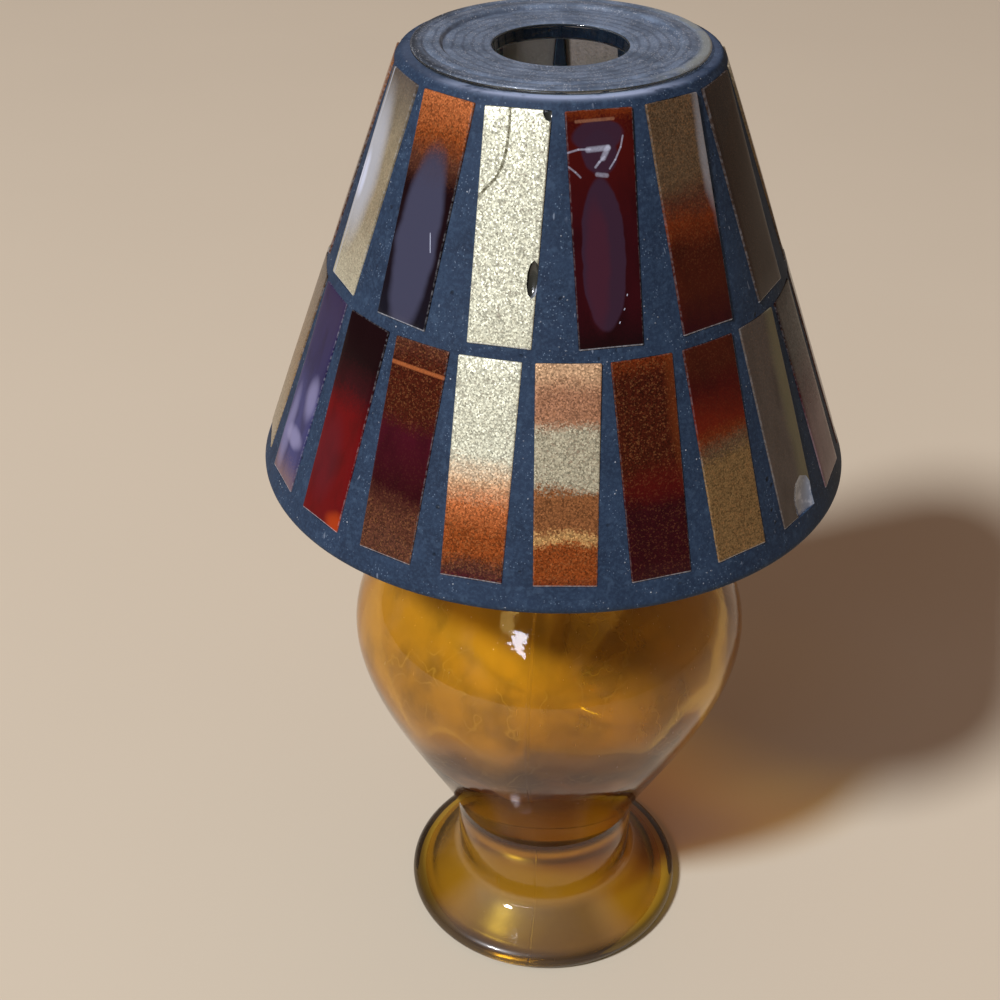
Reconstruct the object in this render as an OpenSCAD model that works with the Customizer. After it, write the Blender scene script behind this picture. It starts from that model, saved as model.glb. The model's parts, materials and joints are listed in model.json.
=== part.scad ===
/* [Glass base] */
// Radius of the foot at its widest
foot_r = 22; // [19:0.5:27]
// Height of the foot's widest edge above the table
foot_edge_h = 1.7; // [1.2:0.1:2.4]
// Height at which the foot's slope meets the neck
foot_h = 8.3; // [6:0.1:12]
// Radius of the standing ring's inner edge
foot_ring_r = 18.4; // [15:0.1:18.8]
// Radius of the neck
neck_r = 14.1; // [11:0.1:16]
// Length of the neck
neck_h = 12; // [8:0.5:20]
// Solid glass from the hollow under the foot up to the neck's top
neck_solid = 3.3; // [2:0.1:6]
// Step from the neck out to the foot of the bulb
neck_step = 0.5; // [0.2:0.1:1]
// Lean of the bulb's wall where it leaves the neck, in degrees
bulb_lean = 19.5; // [14:0.5:26]
// Largest radius of the bulb
bulb_r = 29; // [26:0.5:33]
// Height from the neck's top to the bulb's widest line
bulb_low_h = 35; // [28:0.5:45]
// Height from the bulb's widest line to the throat
bulb_high_h = 24; // [19:0.5:32]
// Radius of the throat above the bulb
throat_r = 18.6; // [17:0.1:20.5]
// Height from the throat to the floor that the tealight stands on
throat_h = 17.5; // [14:0.5:21]
// Depth of the tealight's seat below the rim
seat_depth = 10; // [7:0.5:13]
// How far the seat's wall leans out, in degrees
seat_flare = 33; // [24:1:36]
// Thickness of the base's glass wall
base_wall = 2.8; // [2:0.1:3.4]
// Height of the hollow's floor above the neck's top
hollow_floor_h = 14.2; // [10:0.1:18]

/* [Shade] */
// Radius of the shade's outer bottom edge
shade_r = 40.5; // [38:0.5:46]
// Lean of the shade's wall from upright, in degrees
shade_lean = 20; // [18:0.5:22]
// Thickness of the shade's inner glass
shade_wall = 2.4; // [1.6:0.1:3]
// Height of bare glass edge below the grout
bare_edge = 0.6; // [0.3:0.1:1.5]
// Rounding of the grout's bottom edge
grout_round = 0.9; // [0.4:0.1:1.6]
// Room for clear glue between the tiles' backs and the glass
glue_t = 0.35; // [0.25:0.05:1]
// Thickness of the glass top plate
top_plate_t = 2.6; // [1.8:0.1:3.5]
// How far the top plate's rim stands above the grout
top_rim_h = 0.8; // [0.5:0.1:1.5]
// Distance from the grout's top edge in to the top plate's rim
top_rim_in = 1.5; // [0.8:0.1:1.8]
// Distance from the top plate's rim in to the pressed ring
top_ring_in = 3.9; // [2:0.1:5]
// Depth of the pressed ring and of the dish inside it
top_ring_depth = 0.5; // [0.2:0.1:1]
// Radius of the vent hole
vent_r = 8.3; // [6:0.1:10.5]
// Gap between the base's rim and the shade that sits on it
shade_gap = 0.25; // [0.2:0.05:0.5]

/* [Tiles] */
// Width of a tile
tile_w = 7.7; // [5.5:0.1:7.9]
// Length of a tile along the shade's wall
tile_len = 26.8; // [22:0.1:28]
// Thickness of a tile
tile_t = 1.65; // [1.2:0.05:1.9]
// How far a tile's middle stands above the grout
tile_proud = 0.1; // [0.05:0.05:0.3]
// Least grout between two tiles, side by side at their backs
tile_gap = 0.6; // [0.45:0.05:2]
// Turn of the lower row away from the front, in degrees
lower_turn = 3; // [0:0.5:8]
// Uneven laying of the tiles by hand, in degrees
lay_wobble = 0.6; // [0:0.1:0.9]
// Grout below the lower row
bottom_band = 4.5; // [3:0.1:6]
// Grout between the two rows
row_gap = 1.5; // [1:0.1:3]
// Grout above the upper row
top_band = 1; // [0.8:0.1:2]

/* [Tealight] */
// Radius of the tealight's cup
tealight_r = 19; // [17.5:0.1:20]
// Height of the tealight's cup
tealight_h = 15.5; // [12:0.5:18]
// Thickness of the cup's metal
foil_t = 0.4; // [0.3:0.05:0.6]
// Room around the tealight in its seat
tealight_play = 0.8; // [0.4:0.1:1.5]
// Height of the wax
wax_h = 12.5; // [9:0.5:14]
// Radius of the wick
wick_r = 0.9; // [0.6:0.1:1.4]
// Length of wick above the wax
wick_out = 8; // [5:0.5:12]
// Radius of the wick clip's plate
clip_r = 6; // [4:0.5:9]
// Height of the wick clip's neck
clip_neck_h = 3; // [2:0.5:5]
// Thickness of the wick clip's metal
clip_t = 0.4; // [0.3:0.05:0.6]
// Play between the wax, the clip, the wick and the cup
wax_play = 0.1; // [0.05:0.05:0.3]

/* [Hidden] */
$fn = 96;
CURVE_STEPS = 10;
ARC_STEPS = 8;
// How far the handles of a long curve reach, as shares of its height
SOFT_PULL = 0.28;
FULL_PULL = 0.44;
// How far round the foot's edge is rounded, in degrees from its widest line
EDGE_TURN = 65;
// How far a cutter reaches past the face that it opens
CUT_PAST = 2;

// Slots of the two rows along the shade's wall
lower_start = bottom_band;
upper_start = lower_start + tile_len + row_gap;
wall_len = upper_start + tile_len + top_band;

// As many tiles go round a row as fit at its narrow upper end
function back_r(start) = shade_r - (start + tile_len) * sin(shade_lean) - tile_t * cos(shade_lean);
function row_count(start) = floor(180 / atan((tile_w + tile_gap) / 2 / back_r(start)));
upper_count = row_count(upper_start);
lower_count = row_count(lower_start);

function two_digits(n) = str(n < 10 ? "0" : "", n);
function upper_name(n) = str("tile_upper_", two_digits(n));
function lower_name(n) = str("tile_lower_", two_digits(n));
UPPER_NODES = [for (n = [1:upper_count]) upper_name(n)];
LOWER_NODES = [for (n = [1:lower_count]) lower_name(n)];
PLAIN_NODES = ["glass_base", "shade_glass", "grout",
               "tealight_cup", "tealight_wax", "wick_clip", "wick"];

// Levels of the base, from the foot up
bulb_foot_z = foot_h + neck_h;
foot_hollow_z = bulb_foot_z - neck_solid;
bulb_z = bulb_foot_z + bulb_low_h;
throat_z = bulb_z + bulb_high_h;
seat_z = throat_z + throat_h;
rim_z = seat_z + seat_depth;
hollow_floor_z = bulb_foot_z + hollow_floor_h;

// Seat of the tealight and the rounded rim above it
seat_r = tealight_r + tealight_play;
cup_r = seat_r + base_wall;
lip_r = base_wall / 2;
flare_up = [sin(seat_flare), cos(seat_flare)];
flare_out = [cos(seat_flare), -sin(seat_flare)];
flare_len = (seat_depth - lip_r * (1 + sin(seat_flare))) / cos(seat_flare);
lip_centre = [cup_r, seat_z] + flare_len * flare_up - lip_r * flare_out;

// Layers of the shade's wall, and the height at which it sits on the rim
mosaic_t = glue_t + tile_t - tile_proud;
shade_t = mosaic_t + shade_wall;
inner_edge_r = shade_r - shade_t / cos(shade_lean);
lip_reach = lip_r + shade_gap;
lip_inset = (lip_centre[0] - inner_edge_r) * cos(shade_lean);
shade_z = lip_centre[1] + (lip_inset + lip_reach) / sin(shade_lean);
grout_z = shade_z + bare_edge;
grout_top_z = shade_z + wall_len * cos(shade_lean);
plate_top_z = grout_top_z + top_rim_h;
plate_under_z = plate_top_z - top_plate_t;

// Radius of the shade's wall at a height, at a depth below its outer face
function wall_r(z, depth) = shade_r - depth / cos(shade_lean) - (z - shade_z) * tan(shade_lean);

plate_r = wall_r(grout_top_z, 0) - top_rim_in;
plate_round = top_rim_h / 2;
ring_r = plate_r - top_ring_in;

// Levels and radii of the tealight
tealight_top_z = seat_z + tealight_h;
tealight_wall_r = tealight_r - foil_t / 2;
tealight_bore_r = tealight_wall_r - foil_t;
wax_z = seat_z + foil_t;
wax_top_z = wax_z + wax_h;
clip_neck_z = wax_z + clip_t + clip_neck_h;
clip_bore_r = wick_r + wax_play;
clip_neck_r = clip_bore_r + clip_t;

// Colours of the tiles' glass, repeated round each row
GOLD = "#b9a468";
COPPER = "#96522a";
MAROON = "#5a1a1c";
TAUPE = "#7d7264";
PLUM = "#5a4460";
UPPER_COLOURS = [MAROON, COPPER, TAUPE, GOLD, MAROON, PLUM, COPPER,
                 TAUPE, MAROON, GOLD, COPPER, TAUPE, PLUM, GOLD];
LOWER_COLOURS = [COPPER, MAROON, GOLD, TAUPE, PLUM, COPPER, MAROON,
                 GOLD, COPPER, TAUPE, MAROON, PLUM, GOLD, COPPER,
                 MAROON, TAUPE, GOLD, PLUM, MAROON, COPPER, GOLD];
function colour_of(colours, n) = colours[(n - 1) % len(colours)];

// A smooth stretch of outline between two points, shaped by two handles, without its last point
function mix(a, b, c, d, t) =
    pow(1 - t, 3) * a + 3 * t * pow(1 - t, 2) * b + 3 * t * t * (1 - t) * c + pow(t, 3) * d;
function curve(start, pull_1, pull_2, end) =
    [for (i = [0:CURVE_STEPS - 1]) mix(start, pull_1, pull_2, end, i / CURVE_STEPS)];

// A round stretch of outline
function turn_to(a) = [cos(a), sin(a)];
function arc(centre, r, from, to) =
    [for (i = [0:ARC_STEPS]) centre + r * turn_to(from + (to - from) * i / ARC_STEPS)];

foot_bore_r = neck_r - base_wall;
edge_centre = [foot_r - foot_edge_h, foot_edge_h];
edge_end = edge_centre + foot_edge_h * turn_to(EDGE_TURN);
foot_outline = concat(
    curve([0, foot_hollow_z],
          [foot_bore_r, foot_hollow_z],
          [foot_bore_r, foot_hollow_z - FULL_PULL * (foot_hollow_z - foot_h)],
          [foot_bore_r, foot_h]),
    curve([foot_bore_r, foot_h],
          [foot_bore_r, foot_h - FULL_PULL * foot_h],
          [foot_ring_r, 0] + SOFT_PULL * foot_h * [-1, 1],
          [foot_ring_r, 0]),
    [[foot_ring_r, 0]],
    arc(edge_centre, foot_edge_h, -90, EDGE_TURN),
    curve(edge_end,
          edge_end + FULL_PULL * (foot_r - neck_r) * turn_to(EDGE_TURN + 90),
          [neck_r, foot_h - SOFT_PULL * foot_h],
          [neck_r, foot_h]));

bulb_outline = concat(
    [[neck_r, foot_h], [neck_r, bulb_foot_z]],
    curve([neck_r + neck_step, bulb_foot_z],
          [neck_r + neck_step, bulb_foot_z] + SOFT_PULL * bulb_low_h * [tan(bulb_lean), 1],
          [bulb_r, bulb_z - SOFT_PULL * bulb_low_h],
          [bulb_r, bulb_z]),
    curve([bulb_r, bulb_z],
          [bulb_r, bulb_z + FULL_PULL * bulb_high_h],
          [throat_r, throat_z - FULL_PULL * bulb_high_h],
          [throat_r, throat_z]),
    curve([throat_r, throat_z],
          [throat_r, throat_z + SOFT_PULL * throat_h],
          [cup_r, seat_z] - FULL_PULL * throat_h * flare_up,
          [cup_r, seat_z]));

hollow_r = bulb_r - base_wall;
ledge_r = throat_r - base_wall;
hollow_outline = concat(
    [[seat_r, seat_z], [ledge_r, seat_z]],
    curve([ledge_r, throat_z],
          [ledge_r, throat_z - FULL_PULL * bulb_high_h],
          [hollow_r, bulb_z + FULL_PULL * bulb_high_h],
          [hollow_r, bulb_z]),
    curve([hollow_r, bulb_z],
          [hollow_r, bulb_z - FULL_PULL * (bulb_z - hollow_floor_z)],
          [neck_r + base_wall, hollow_floor_z],
          [0, hollow_floor_z]),
    [[0, hollow_floor_z]]);

// One piece of amber glass: a foot and neck hollow from below, a hollow bulb, throat and tealight seat
module glass_base() {
    color("#a8701c", 0.8)
    rotate_extrude()
    polygon(concat(
        foot_outline,
        bulb_outline,
        [[cup_r, seat_z]],
        arc(lip_centre, lip_r, -seat_flare, 180 - seat_flare),
        hollow_outline));
}

// Clear glass cone with a flat top plate, a pressed ring and a vent hole
module shade_glass() {
    edge_at = [vent_r + plate_round, plate_top_z - top_ring_depth - plate_round];
    rim_at = [plate_r - plate_round, plate_top_z - plate_round];
    color("#aebbb4", 0.5)
    rotate_extrude()
    polygon(concat(
        [[inner_edge_r, shade_z], [wall_r(shade_z, mosaic_t), shade_z]],
        [[wall_r(grout_top_z, mosaic_t), grout_top_z]],
        arc(rim_at, plate_round, -90, 90),
        [[ring_r + top_ring_depth, plate_top_z], [ring_r, plate_top_z - top_ring_depth]],
        arc(edge_at, plate_round, 90, 180),
        [[vent_r, plate_under_z], [wall_r(plate_under_z, shade_t), plate_under_z]]));
}

// Carries its children from the front of a tile's slot to their place on the shade's wall
module on_wall(turn, start, wobble) {
    rotate([0, 0, turn - 90])
    translate([shade_r, 0, shade_z])
    rotate([0, -shade_lean, 0])
    translate([0, 0, start + tile_len / 2])
    rotate([wobble, 0, 0])
    children();
}

// A tile's block, longer at its face and back when it is the cutter of its own window
module tile_block(past) {
    translate([tile_proud - tile_t - past, -tile_w / 2, -tile_len / 2])
    cube([tile_t + 2 * past, tile_w, tile_len]);
}

// Hand laying turns each tile a little, by a rule that has no visible repeat
function wobble_of(n) = lay_wobble * sin(n * 137.5);

module upper_tile(n, past = 0) {
    color(colour_of(UPPER_COLOURS, n))
    on_wall((n - 0.5) * 360 / upper_count, upper_start, wobble_of(n))
    tile_block(past);
}

module lower_tile(n, past = 0) {
    color(colour_of(LOWER_COLOURS, n))
    on_wall(lower_turn + (n - 1) * 360 / lower_count, lower_start, wobble_of(n + upper_count))
    tile_block(past);
}

// Dark grout over the glass cone, with a window for each tile, so that the candle shines through
module grout() {
    outer_edge_r = wall_r(grout_z, 0);
    round_at = [outer_edge_r - grout_round / cos(shade_lean) - grout_round * tan(shade_lean),
                grout_z + grout_round];
    color("#34405a")
    difference() {
        rotate_extrude()
        polygon(concat(
            [[wall_r(grout_z, mosaic_t), grout_z]],
            arc(round_at, grout_round, -90, shade_lean),
            [[wall_r(grout_top_z, 0), grout_top_z], [wall_r(grout_top_z, mosaic_t), grout_top_z]]));
        for (n = [1:upper_count]) upper_tile(n, CUT_PAST);
        for (n = [1:lower_count]) lower_tile(n, CUT_PAST);
    }
}

// Pressed metal cup with a rolled rim
module tealight_cup() {
    color("#c8c8c8")
    rotate_extrude()
    polygon(concat(
        [[0, seat_z], [tealight_r - foil_t, seat_z], [tealight_wall_r, seat_z + foil_t]],
        [[tealight_wall_r, tealight_top_z - 2 * foil_t]],
        arc([tealight_r - foil_t, tealight_top_z - foil_t], foil_t, 0, 90),
        [[tealight_bore_r, tealight_top_z - foil_t], [tealight_bore_r, wax_z], [0, wax_z]]));
}

// Wax poured around the clip and the wick, a little dished on top
module tealight_wax() {
    wax_r = tealight_bore_r - wax_play;
    wax_edge = 2 * foil_t;
    color("#efe9da")
    rotate_extrude()
    polygon([
        [clip_r + wax_play, wax_z],
        [wax_r, wax_z],
        [wax_r, wax_top_z + wax_edge],
        [wax_r - wax_edge, wax_top_z],
        [wick_r + wax_play, wax_top_z],
        [wick_r + wax_play, clip_neck_z + wax_play],
        [clip_neck_r + wax_play, clip_neck_z + wax_play],
        [clip_neck_r + wax_play, wax_z + clip_t + wax_play],
        [clip_r + wax_play, wax_z + clip_t + wax_play]]);
}

// Small plate with a neck that holds the wick upright
module wick_clip() {
    color("#8d8f92")
    rotate_extrude()
    polygon([
        [0, wax_z],
        [clip_r, wax_z],
        [clip_r, wax_z + clip_t],
        [clip_neck_r, wax_z + clip_t],
        [clip_neck_r, clip_neck_z],
        [clip_bore_r, clip_neck_z],
        [clip_bore_r, wax_z + clip_t],
        [0, wax_z + clip_t]]);
}

// Cotton wick, standing on the clip's plate
module wick() {
    color("#e3dcc8")
    translate([0, 0, wax_z + clip_t])
    cylinder(r = wick_r, h = wax_top_z + wick_out - wax_z - clip_t);
}

glass_base();
shade_glass();
grout();
tealight_cup();
tealight_wax();
wick_clip();
wick();
for (n = [1:upper_count]) upper_tile(n);
for (n = [1:lower_count]) lower_tile(n);
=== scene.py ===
"""Dresses the tealight lamp: amber glass base, mosaic shade, candle and stage."""

import json
import math
from contextlib import contextmanager

import bpy
import numpy as np
from bpy.props import FloatProperty, FloatVectorProperty, IntProperty, PointerProperty
from bpy.types import Operator, Panel, PropertyGroup
from mathutils import Matrix, Vector


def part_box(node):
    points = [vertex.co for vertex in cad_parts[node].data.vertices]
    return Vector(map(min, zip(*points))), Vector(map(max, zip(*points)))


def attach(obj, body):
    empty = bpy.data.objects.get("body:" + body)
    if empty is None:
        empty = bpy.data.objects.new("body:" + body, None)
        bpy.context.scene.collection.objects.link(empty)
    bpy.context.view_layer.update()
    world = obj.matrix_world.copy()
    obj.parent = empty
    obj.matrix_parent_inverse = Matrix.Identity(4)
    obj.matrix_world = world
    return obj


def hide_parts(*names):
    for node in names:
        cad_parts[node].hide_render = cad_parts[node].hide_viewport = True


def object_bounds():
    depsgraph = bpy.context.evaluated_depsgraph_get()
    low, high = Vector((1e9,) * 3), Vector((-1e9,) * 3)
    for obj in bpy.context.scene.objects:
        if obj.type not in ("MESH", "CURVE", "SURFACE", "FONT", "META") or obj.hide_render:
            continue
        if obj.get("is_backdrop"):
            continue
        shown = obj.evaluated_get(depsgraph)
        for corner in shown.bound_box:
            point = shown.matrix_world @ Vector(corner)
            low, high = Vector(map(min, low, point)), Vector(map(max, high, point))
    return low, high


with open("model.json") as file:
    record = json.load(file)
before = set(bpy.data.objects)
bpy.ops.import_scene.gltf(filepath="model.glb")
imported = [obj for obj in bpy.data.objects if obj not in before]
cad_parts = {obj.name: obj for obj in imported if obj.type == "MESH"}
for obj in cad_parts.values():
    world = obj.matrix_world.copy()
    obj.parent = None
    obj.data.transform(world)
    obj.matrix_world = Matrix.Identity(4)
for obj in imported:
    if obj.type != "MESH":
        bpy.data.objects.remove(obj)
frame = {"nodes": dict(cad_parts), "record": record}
CAD_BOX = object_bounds()

bl_info = {
    "name": "Tealight lamp",
    "version": (1, 0, 0),
    "blender": (4, 5, 0),
    "location": "View3D > Sidebar > Lamp",
    "description": "Dresses the tealight lamp: amber glass base, mosaic shade, candle and stage",
    "category": "Object",
}

SLOTS = {part["node"]: part["material_slot"] for part in frame["record"]["subparts"]}
TILE_NODES = sorted(name for name in frame["nodes"] if name.startswith("tile_"))


# Colours and sizes

def linear(code):
    """A screen colour such as #a8701c as the linear colour that shaders use."""
    parts = [int(code[i:i + 2], 16) / 255 for i in (1, 3, 5)]
    return tuple(p / 12.92 if p <= 0.04045 else ((p + 0.055) / 1.055) ** 2.4 for p in parts)


# One millimetre
MM = 0.001


def size(name, description, millimetres):
    return FloatProperty(name=name, description=description, default=millimetres * MM,
                         unit="LENGTH", precision=5)


def lean(name, description, degrees):
    return FloatProperty(name=name, description=description, default=math.radians(degrees),
                         subtype="ANGLE")


def tint(name, description, code):
    return FloatVectorProperty(name=name, description=description, default=linear(code),
                               subtype="COLOR", min=0, max=1)


def level(name, description, value, unit="NONE"):
    return FloatProperty(name=name, description=description, default=value, unit=unit)


def count(name, description, number):
    return IntProperty(name=name, description=description, default=number, subtype="UNSIGNED")


class BaseSettings(PropertyGroup):
    """Sizes and colours of the glass base."""

    foot_r: size("Foot radius", "Radius of the foot at its widest", 22)
    edge_h: size("Foot edge", "Height of the foot's widest edge", 1.7)
    foot_h: size("Foot height", "Height at which the foot's slope meets the neck", 8.3)
    ring_r: size("Standing ring", "Radius of the standing ring's inner edge", 18.4)
    neck_r: size("Neck radius", "Radius of the neck", 14.1)
    neck_h: size("Neck length", "Length of the neck", 12)
    neck_solid: size("Solid neck", "Solid glass from the hollow under the foot up to the neck's top", 3.3)
    neck_step: size("Neck step", "Step from the neck out to the bulb", 0.5)
    bulb_lean: lean("Bulb lean", "Lean of the bulb's wall where it leaves the neck", 19.5)
    bulb_r: size("Bulb radius", "Largest radius of the bulb", 29)
    bulb_low: size("Lower bulb", "Height from the neck to the bulb's widest line", 35)
    bulb_high: size("Upper bulb", "Height from the bulb's widest line to the throat", 24)
    throat_r: size("Throat radius", "Radius of the throat above the bulb", 18.6)
    throat_h: size("Throat height", "Height from the throat to the tealight's floor", 17.5)
    seat_r: size("Seat radius", "Radius of the floor that the tealight stands on", 19.8)
    seat_h: size("Seat depth", "Depth of the tealight's seat below the rim", 10)
    flare: lean("Seat flare", "How far the seat's wall leans out", 33)
    wall: size("Wall", "Thickness of the glass wall", 2.8)
    floor_h: size("Hollow floor", "Height of the hollow's floor above the neck", 14.2)
    lobes: count("Lobes", "Soft lobes round the hollow's lower end", 9)
    lobe: size("Lobe depth", "How far the lobes stand into the hollow", 0.6)
    glass: tint("Glass", "Colour that the glass lets through", "#fbdf98")
    haze: tint("Haze", "Colour of the haze inside the hollow", "#e2b838")
    haze_level: level("Haze level", "How dense the haze inside the hollow is", 0.85)
    shadow: tint("Shadow", "Colour of lamplight that has crossed one face of the glass", "#ece37a")


class ShadeSettings(PropertyGroup):
    """Sizes and colours of the shade, its grout and its tiles."""

    radius: size("Radius", "Radius of the shade's outer bottom edge", 40.5)
    slope: lean("Slope", "Lean of the shade's wall from upright", 20)
    wall: size("Glass wall", "Thickness of the glass cone", 2.4)
    mosaic: size("Mosaic", "Thickness of the grout and tiles over the cone", 1.9)
    plate: size("Top plate", "Thickness of the glass top plate", 2.6)
    rim_in: size("Rim inset", "Distance from the grout's top edge in to the plate's rim", 1.5)
    ring_in: size("Ring inset", "Distance from the plate's rim in to the pressed ring", 3.9)
    ring_d: size("Ring depth", "Depth of the pressed ring and of the dish inside it", 0.5)
    vent_r: size("Vent radius", "Radius of the vent hole", 8.3)
    soft: size("Rounding", "Rounding of the glass edges", 0.4)
    grout_round: size("Grout rounding", "Rounding of the grout's bottom edge", 0.9)
    grout_rise: size("Grout rise", "How far the wiped grout swells past the plain cone", 0.12)
    tile_edge: size("Tile edge", "Width of a tile's ground edge", 0.22)
    tile_dome: size("Tile dome", "Rise of a tile's face in its middle", 0.07)
    glass: tint("Glass", "Colour of the clear glass", "#eef4f0")
    dust: tint("Dust", "Colour of the dust on the top plate", "#8598b3")
    grout: tint("Grout", "Colour of the grout", "#22334b")


class CandleSettings(PropertyGroup):
    """Sizes and colours of the tealight."""

    radius: size("Radius", "Radius of the cup's rolled rim", 19)
    height: size("Height", "Height of the cup", 15.5)
    foil: size("Foil", "Thickness of the cup's metal", 0.4)
    wax_h: size("Wax height", "Height of the wax", 12.5)
    wick_r: size("Wick radius", "Radius of the wick", 0.9)
    wick_out: size("Wick length", "Length of wick above the wax", 8)
    clip_r: size("Clip radius", "Radius of the wick clip's plate", 6)
    clip_h: size("Clip neck", "Height of the wick clip's neck", 3)
    play: size("Play", "Play between the wax, the clip, the wick and the cup", 0.1)
    flutes: count("Flutes", "Pressed flutes round the cup", 40)
    metal: tint("Metal", "Colour of the pressed metal", "#cfd0d2")
    wax: tint("Wax", "Colour of the wax", "#efe9da")
    cotton: tint("Cotton", "Colour of the wick", "#ded6c0")


class StageSettings(PropertyGroup):
    """Floor, lamps and camera."""

    floor: tint("Floor", "Colour of the plain floor", "#cec4b0")
    backdrop: tint("Backdrop", "Colour of the plain backdrop behind the floor", "#cdbfae")
    air: tint("Air", "Colour of the even light in front", "#dacbc5")
    warm_air: tint("Warm air", "Colour of the even light behind", "#f0a977")
    air_level: level("Air level", "Strength of the even light", 0.23)
    key_power: level("Key lamp", "Power of the high lamp on the left", 104, "POWER")
    front_power: level("Front lamp", "Power of the small lamp in front", 1.4, "POWER")
    lens: level("Lens", "Focal length in millimetres on a 36 mm frame", 56.63)


# Outlines, as points of radius and height

# Share of a stretch that its handles take up, where it turns fully and where it turns slightly
PULL = 0.44
SLIGHT_PULL = 0.28


def curve(start, pull_1, pull_2, end, steps=20):
    """A smooth stretch between two points, shaped by two handles, without its last point."""
    a, b, c, d = (np.array(p, float) for p in (start, pull_1, pull_2, end))
    for t in np.arange(steps) / steps:
        yield (1 - t) ** 3 * a + 3 * t * (1 - t) ** 2 * b + 3 * t * t * (1 - t) * c + t ** 3 * d


def arc(centre, radius, begin, end, steps=8):
    """A round stretch, between two angles in radians."""
    for angle in np.linspace(begin, end, steps + 1):
        yield np.array(centre, float) + radius * np.array((math.cos(angle), math.sin(angle)))


def wall(radius_at, start, end, steps):
    """Points along a wall between two heights, with its radius at each height."""
    return [np.array((radius_at(z), z)) for z in np.linspace(start, end, steps)]


def cone(shade, depth):
    """The radius of the shade's wall at a height, at a depth under its outer face."""
    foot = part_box("shade_glass")[0].z
    inset = depth / math.cos(shade.slope)
    return lambda z: shade.radius - inset - (z - foot) * math.tan(shade.slope)


def ease(low, high, value):
    """0 below low, 1 above high, and smooth between."""
    t = np.clip((value - low) / (high - low), 0, 1)
    return t * t * (3 - 2 * t)


# Modelling

# Points closer than this become one
MERGED = 2e-6


def start_fresh():
    """Leaves edit mode and selects nothing, as each piece begins."""
    if bpy.context.object and bpy.context.object.mode != "OBJECT":
        bpy.ops.object.mode_set(mode="OBJECT")
    bpy.ops.object.select_all(action="DESELECT")


def pick(piece):
    start_fresh()
    piece.select_set(True)
    bpy.context.view_layer.objects.active = piece


@contextmanager
def editing():
    """Edit mode with every point selected, and object mode again at the end."""
    bpy.ops.object.mode_set(mode="EDIT")
    bpy.ops.mesh.select_mode(type="VERT")
    bpy.ops.mesh.select_all(action="SELECT")
    yield
    bpy.ops.object.mode_set(mode="OBJECT")


def draw_out(step):
    bpy.ops.mesh.extrude_region_move(TRANSFORM_OT_translate={"value": step})


def face_outwards():
    bpy.ops.mesh.select_all(action="SELECT")
    bpy.ops.mesh.normals_make_consistent(inside=False)


def lathe(name, outline, steps):
    """Turns an outline about the lamp's axis: one point is drawn out along it and spun."""
    start_fresh()
    bpy.ops.mesh.primitive_plane_add(size=MM)
    piece = bpy.context.object
    piece.name = name
    with editing():
        bpy.ops.mesh.merge(type="CENTER")
        last = outline[0]
        bpy.ops.transform.translate(value=(last[0], 0, last[1]))
        for point in outline[1:]:
            draw_out((point[0] - last[0], 0, point[1] - last[1]))
            last = point
        bpy.ops.mesh.select_all(action="SELECT")
        bpy.ops.mesh.spin(steps=steps, angle=math.tau, center=(0, 0, 0), axis=(0, 0, 1))
        bpy.ops.mesh.select_all(action="SELECT")
        bpy.ops.mesh.remove_doubles(threshold=MERGED)
        face_outwards()
    return piece


def reshape(piece, shift):
    """Moves each point of a piece by what shift gives for it."""
    flat = np.empty(len(piece.data.vertices) * 3, np.float32)
    piece.data.vertices.foreach_get("co", flat)
    points = flat.reshape(-1, 3).astype(float)
    piece.data.vertices.foreach_set("co", (points + shift(points)).ravel().astype(np.float32))
    piece.data.update()


def outwards(points, distance):
    """Moves away from the lamp's axis, by a distance for each point."""
    radius = np.hypot(points[:, 0], points[:, 1])
    return points[:, :2] / np.maximum(radius, 1e-6)[:, None] * distance[:, None]


def upwards(distance):
    """Moves along z, by a distance for each point."""
    return np.column_stack((0 * distance, 0 * distance, distance))


def apply(piece, kind, **settings):
    """Adds a modifier to a piece and applies it."""
    pick(piece)
    modifier = piece.modifiers.new(kind.title(), kind)
    for key, value in settings.items():
        setattr(modifier, key, value)
    bpy.ops.object.modifier_apply(modifier=modifier.name)


def cut_away(piece, tool):
    """Cuts a tool's shape out of a piece. The tool is used up."""
    apply(piece, "BOOLEAN", object=tool, operation="DIFFERENCE", solver="EXACT", use_self=False)
    bpy.data.objects.remove(tool)


def add_block(sizes):
    """A plain block about the origin."""
    start_fresh()
    bpy.ops.mesh.primitive_cube_add(size=1, scale=sizes)
    bpy.ops.object.transform_apply(location=False, rotation=False, scale=True)
    return bpy.context.object


def copy_of(piece):
    copy = piece.copy()
    copy.data = piece.data.copy()
    bpy.context.collection.objects.link(copy)
    return copy


def open_slots(piece, number):
    """Room for materials that come later."""
    for _ in range(number):
        piece.data.materials.append(None)


def smooth(piece, degrees=35):
    pick(piece)
    bpy.ops.object.shade_smooth_by_angle(angle=math.radians(degrees))


def hand_over(piece, node, body, *materials):
    """Gives a finished piece its materials and puts it in the place of its CAD node."""
    slots = piece.data.materials
    for place, material in enumerate(materials):
        if place < len(slots):
            slots[place] = material
        else:
            slots.append(material)
    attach(piece, body)
    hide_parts(node)


def block_place(node):
    """Size and place of a tile's plain block: x to the right, y up the wall, z outwards."""
    points = [v.co.copy() for v in frame["nodes"][node].data.vertices]
    corners = list({tuple(round(c, 7) for c in point): point for point in points}.values())
    edges = sorted((c - corners[0] for c in corners[1:]), key=lambda e: e.length)
    depth, width, length = edges[0], edges[1], edges[3]
    centre = sum(corners, Vector()) / len(corners)
    out = depth.normalized()
    if out.dot(Vector((centre.x, centre.y, 0))) < 0:
        out.negate()
    up = length.normalized()
    if up.z < 0:
        up.negate()
    right = up.cross(out)
    place = Matrix((right, up, out)).transposed().to_4x4()
    place.translation = centre
    return Vector((width.length, length.length, depth.length)), place


# Materials

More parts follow.
